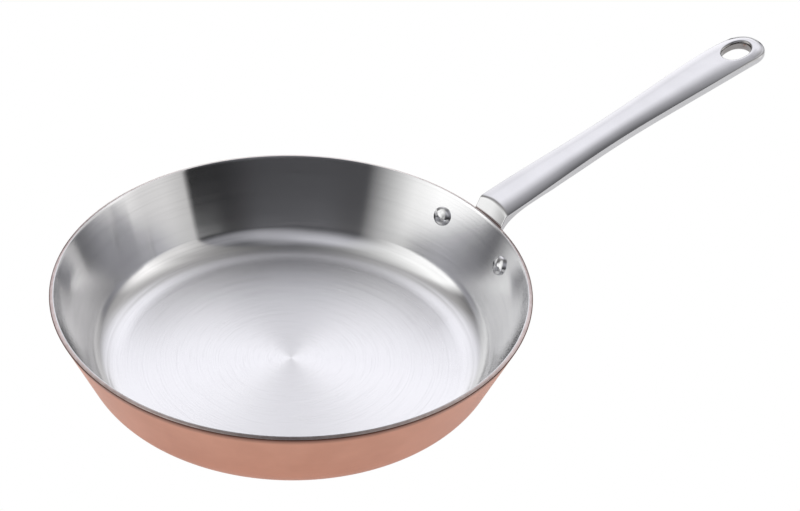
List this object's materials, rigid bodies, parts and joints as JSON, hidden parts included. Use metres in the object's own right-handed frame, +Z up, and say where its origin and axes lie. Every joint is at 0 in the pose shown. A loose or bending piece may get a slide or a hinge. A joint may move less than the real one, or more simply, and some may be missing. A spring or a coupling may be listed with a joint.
{
  "type": "frying pan",
  "caption": "Round frying pan with flared copper-clad wall, steel lining and a long riveted cast steel handle with a hanging eye.",
  "frame": {"origin": "centre of the flat base, on the surface that the pan stands on", "axes": "+Z up out of the pan, +X along the handle away from the pan, +Y to the left of the handle seen from above with the handle pointing away"},
  "size_m": [0.4492, 0.26, 0.111],
  "materials": {
    "copper": "satin brushed copper, fine lines round the body",
    "core": "plain cut edge",
    "lining": "brushed round the wall, spun satin floor",
    "handle_steel": "polished cast stainless steel",
    "rivet_steel": "polished stainless rivet"
  },
  "bodies": {
    "root": {"copper_skin": "copper", "aluminium_core": "core", "steel_lining": "lining", "handle": "handle_steel", "rivet_left": "rivet_steel", "rivet_right": "rivet_steel"}
  },
  "joints": []
}
